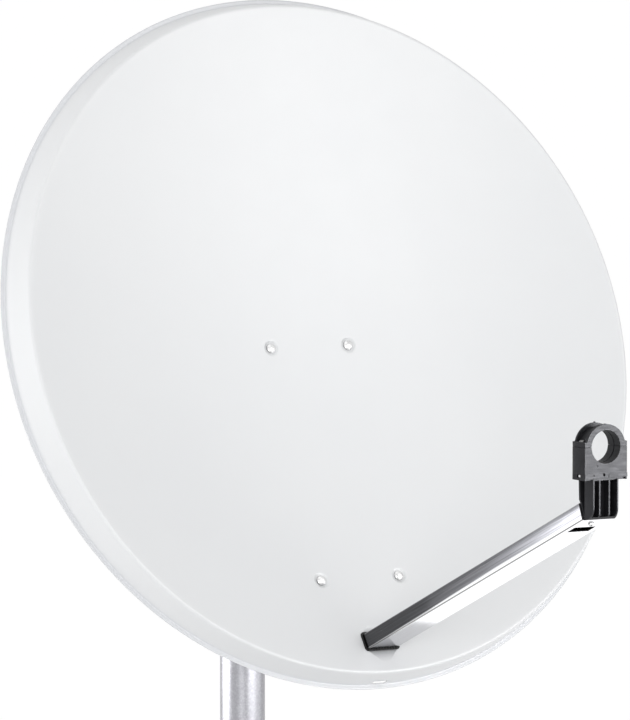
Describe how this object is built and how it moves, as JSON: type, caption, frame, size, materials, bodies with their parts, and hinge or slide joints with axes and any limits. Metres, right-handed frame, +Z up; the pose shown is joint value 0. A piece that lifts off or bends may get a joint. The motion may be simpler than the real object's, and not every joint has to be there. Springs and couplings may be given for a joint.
{
  "type": "satellite dish",
  "caption": "Offset satellite dish on a mast clamp, with an elevation bracket, feed arm and an empty split clamp for a feed's neck.",
  "frame": {"origin": "centre of the mast's foot", "axes": "+Z up along the mast, the dish faces -Y at rest, +X is to the right seen from in front of the dish"},
  "size_m": [0.9019, 0.9625, 1.0465],
  "materials": {
    "grey_paint": "light grey powder coat, satin",
    "zinc_sheet": "zinc plated sheet, satin",
    "zinc_bolts": "bright zinc plated hardware",
    "galvanised_tube": "hot dip galvanised, mottled",
    "bare_aluminium": "extruded aluminium, satin",
    "black_plastic": "moulded, matte",
    "black_rubber": "soft edging, matte"
  },
  "bodies": {
    "mast": {"mast_tube": "galvanised_tube", "mast_cap": "black_plastic"},
    "head": {"mount_head": "zinc_sheet", "front_jaws": "zinc_sheet", "rear_jaws": "zinc_sheet", "clamp_bolts": "zinc_bolts", "clamp_washers": "zinc_bolts", "clamp_nuts": "zinc_bolts", "pivot_bolt": "zinc_bolts", "pivot_washers": "zinc_bolts", "pivot_nut": "zinc_bolts"},
    "dish": {"reflector": "grey_paint", "reflector_bolts": "zinc_bolts", "reflector_spacers": "black_plastic", "reflector_washers": "zinc_bolts", "reflector_nuts": "zinc_bolts", "dish_bracket": "zinc_sheet", "lock_bolt": "zinc_bolts", "lock_washers": "zinc_bolts", "lock_nut": "zinc_bolts", "arm_bracket": "zinc_sheet", "arm_bracket_bolts": "zinc_bolts", "arm_bracket_nuts": "zinc_bolts", "arm_cross_bolts": "zinc_bolts", "arm_cross_nuts": "zinc_bolts", "feed_arm": "bare_aluminium", "arm_grommet": "black_rubber", "feed_holder": "black_plastic", "feed_cap": "black_plastic", "feed_cap_screws": "zinc_bolts", "feed_cap_nuts": "zinc_bolts", "holder_screw": "zinc_bolts"}
  },
  "joints": [
    {"name": "azimuth", "type": "hinge", "parent": "mast", "child": "head", "pos_m": [0, 0, 0.46], "axis": [0, 0, 1], "continuous": true},
    {"name": "elevation", "type": "hinge", "parent": "head", "child": "dish", "pos_m": [0, -0.15, 0.43], "axis": [-1, 0, 0], "range_deg": [-27, 18]}
  ]
}
